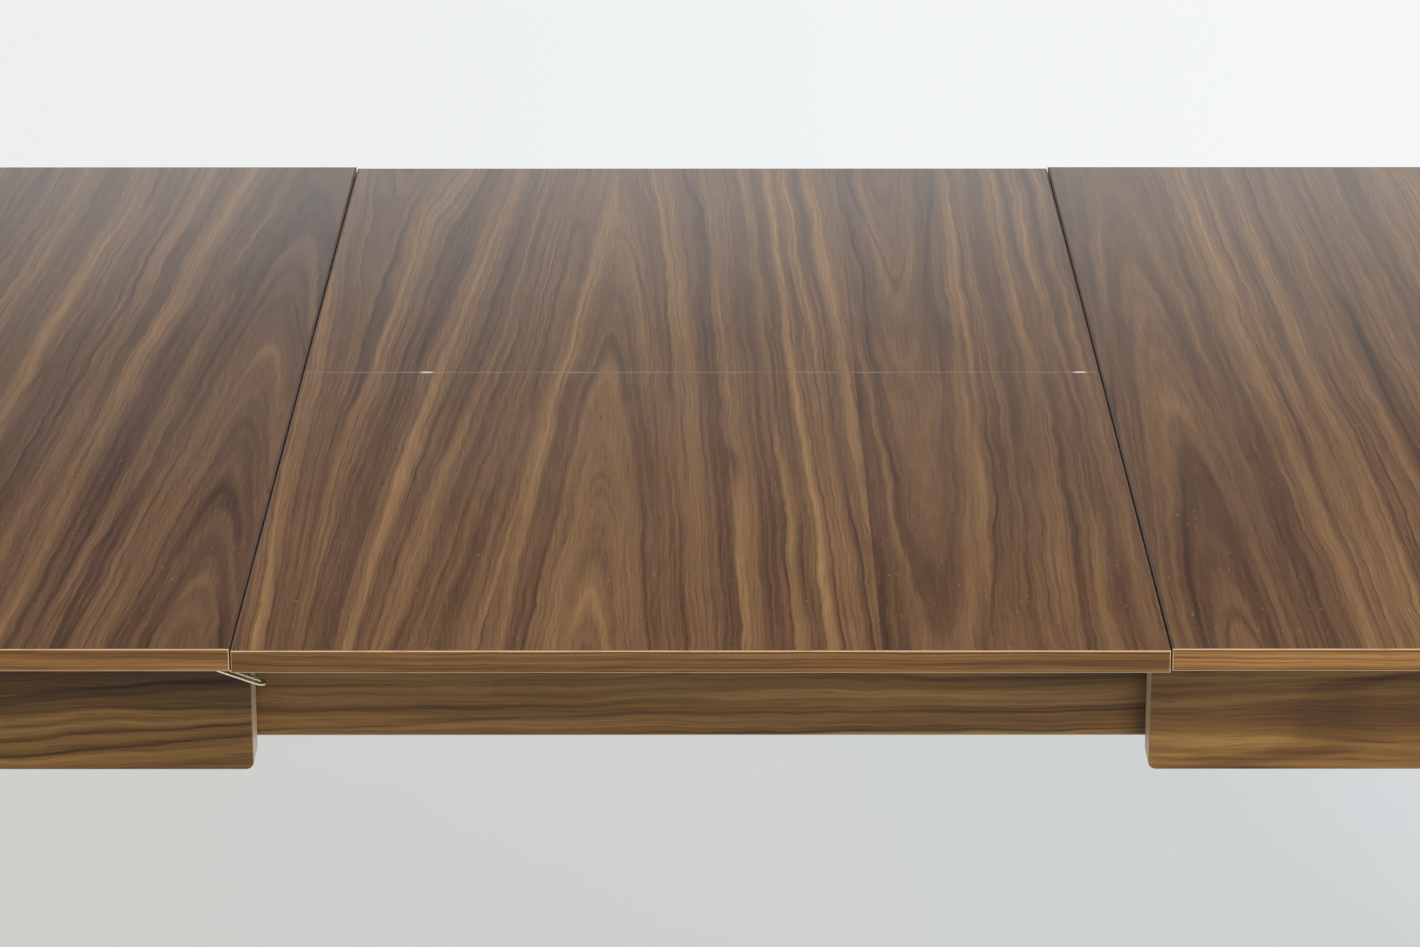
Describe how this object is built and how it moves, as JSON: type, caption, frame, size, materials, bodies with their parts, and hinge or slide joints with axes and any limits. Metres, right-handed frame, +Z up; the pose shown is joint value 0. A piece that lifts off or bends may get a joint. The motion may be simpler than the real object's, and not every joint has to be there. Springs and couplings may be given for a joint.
{
  "type": "extendable dining table",
  "caption": "Rectangular dining table with two half tops on slides and a folding middle leaf that swings down into the frame.",
  "frame": {"origin": "on the floor under the middle of the leaf, table extended", "axes": "+X along the table's length, -Y the front, +Z up"},
  "size_m": [1.6, 0.8, 0.76],
  "materials": {
    "walnut_veneer": "satin lacquered walnut veneer",
    "walnut_edge": "satin lacquered edge band",
    "walnut_apron": "satin lacquered walnut veneer",
    "walnut_solid": "satin lacquered solid walnut",
    "frame_wood": "plain planed hardwood",
    "zinc_steel": "zinc plated",
    "black_steel": "black powder coat",
    "nickel_wire": "bright nickel plate",
    "brass": "satin",
    "plastic": "matt moulded",
    "felt": "dense felt"
  },
  "bodies": {
    "inner_frame": {"front_rail": "walnut_apron", "back_rail": "walnut_apron", "pivot_crossbars": "frame_wood", "end_crossbars": "frame_wood", "crossbar_dowels": "frame_wood", "front_slide_channel": "zinc_steel", "back_slide_channel": "zinc_steel", "channel_screws": "zinc_steel", "leaf_rest_pads": "felt", "stow_pads": "felt", "arm_pivot_pins": "zinc_steel"},
    "left_half": {"left_top_panel": "walnut_veneer", "left_edge_bands": "walnut_edge", "left_front_apron": "walnut_apron", "left_back_apron": "walnut_apron", "left_end_apron": "walnut_apron", "left_front_leg": "walnut_solid", "left_back_leg": "walnut_solid", "left_glides": "plastic", "left_corner_brackets": "zinc_steel", "left_leg_bolts": "zinc_steel", "left_bearers": "frame_wood", "left_runners": "zinc_steel", "left_stop_blocks": "plastic", "left_clip_plates": "zinc_steel", "left_screws": "zinc_steel"},
    "right_half": {"right_top_panel": "walnut_veneer", "right_edge_bands": "walnut_edge", "right_front_apron": "walnut_apron", "right_back_apron": "walnut_apron", "right_end_apron": "walnut_apron", "right_front_leg": "walnut_solid", "right_back_leg": "walnut_solid", "right_glides": "plastic", "right_corner_brackets": "zinc_steel", "right_leg_bolts": "zinc_steel", "right_bearers": "frame_wood", "right_runners": "zinc_steel", "right_stop_blocks": "plastic", "right_clip_plates": "zinc_steel", "right_screws": "zinc_steel"},
    "left_cages": {"left_ball_cages": "zinc_steel"},
    "right_cages": {"right_ball_cages": "zinc_steel"},
    "first_arms": {"first_swing_arms": "black_steel"},
    "second_arms": {"second_swing_arms": "black_steel"},
    "leaf_front": {"leaf_front_panel": "walnut_veneer", "leaf_front_bands": "walnut_edge", "leaf_front_barrels": "brass", "leaf_front_studs": "zinc_steel", "leaf_arm_brackets": "zinc_steel"},
    "leaf_back": {"leaf_back_panel": "walnut_veneer", "leaf_back_bands": "walnut_edge", "leaf_back_barrels": "brass", "leaf_back_studs": "zinc_steel"},
    "hinge_links": {"leaf_hinge_links": "zinc_steel"},
    "left_front_clip": {"left_front_clip": "nickel_wire"},
    "left_back_clip": {"left_back_clip": "nickel_wire"},
    "right_front_clip": {"right_front_clip": "nickel_wire"},
    "right_back_clip": {"right_back_clip": "nickel_wire"}
  },
  "joints": [
    {"name": "left_half_slide", "type": "slide", "parent": "inner_frame", "child": "left_half", "axis": [-1, 0, 0], "range_m": [0, 0.015]},
    {"name": "left_cage_roll", "type": "slide", "parent": "inner_frame", "child": "left_cages", "axis": [-1, 0, 0], "range_m": [0, 0.0075]},
    {"name": "right_half_slide", "type": "slide", "parent": "inner_frame", "child": "right_half", "axis": [1, 0, 0], "range_m": [0, 0.015]},
    {"name": "right_cage_roll", "type": "slide", "parent": "inner_frame", "child": "right_cages", "axis": [1, 0, 0], "range_m": [0, 0.0075]},
    {"name": "leaf_swing", "type": "hinge", "parent": "inner_frame", "child": "first_arms", "pos_m": [0, -0.1, 0.688], "axis": [-1, 0, 0], "range_deg": [0, 156.94]},
    {"name": "second_arm_swing", "type": "hinge", "parent": "inner_frame", "child": "second_arms", "pos_m": [0, -0.051, 0.6795], "axis": [-1, 0, 0], "range_deg": [0, 156.94]},
    {"name": "leaf_level", "type": "hinge", "parent": "first_arms", "child": "leaf_front", "pos_m": [0, -0.19559, 0.73], "axis": [-1, 0, 0], "range_deg": [-156.94, 0]},
    {"name": "leaf_fold", "type": "hinge", "parent": "leaf_front", "child": "leaf_back", "pos_m": [0, 0, 0.7597], "axis": [1, 0, 0], "range_deg": [0, 180]},
    {"name": "hinge_link_turn", "type": "hinge", "parent": "leaf_front", "child": "hinge_links", "pos_m": [0, 0, 0.7597], "axis": [1, 0, 0], "range_deg": [0, 90]},
    {"name": "left_front_clip_turn", "type": "hinge", "parent": "left_half", "child": "left_front_clip", "pos_m": [-0.2246, -0.352, 0.7388], "axis": [0, 1, 0], "range_deg": [-20, 160]},
    {"name": "left_back_clip_turn", "type": "hinge", "parent": "left_half", "child": "left_back_clip", "pos_m": [-0.2246, 0.352, 0.7388], "axis": [0, 1, 0], "range_deg": [-180, 0]},
    {"name": "right_front_clip_turn", "type": "hinge", "parent": "right_half", "child": "right_front_clip", "pos_m": [0.2246, -0.352, 0.7388], "axis": [0, -1, 0], "range_deg": [-180, 0]},
    {"name": "right_back_clip_turn", "type": "hinge", "parent": "right_half", "child": "right_back_clip", "pos_m": [0.2246, 0.352, 0.7388], "axis": [0, -1, 0], "range_deg": [-180, 0]}
  ],
  "couplings": [
    {"joint": "left_cage_roll", "follows": "left_half_slide", "ratio": 0.5},
    {"joint": "right_cage_roll", "follows": "right_half_slide", "ratio": 0.5},
    {"joint": "second_arm_swing", "follows": "leaf_swing", "ratio": 1},
    {"joint": "leaf_level", "follows": "leaf_swing", "ratio": -1},
    {"joint": "leaf_fold", "follows": "leaf_swing", "ratio": 1.1469},
    {"joint": "hinge_link_turn", "follows": "leaf_swing", "ratio": 0.57347}
  ]
}
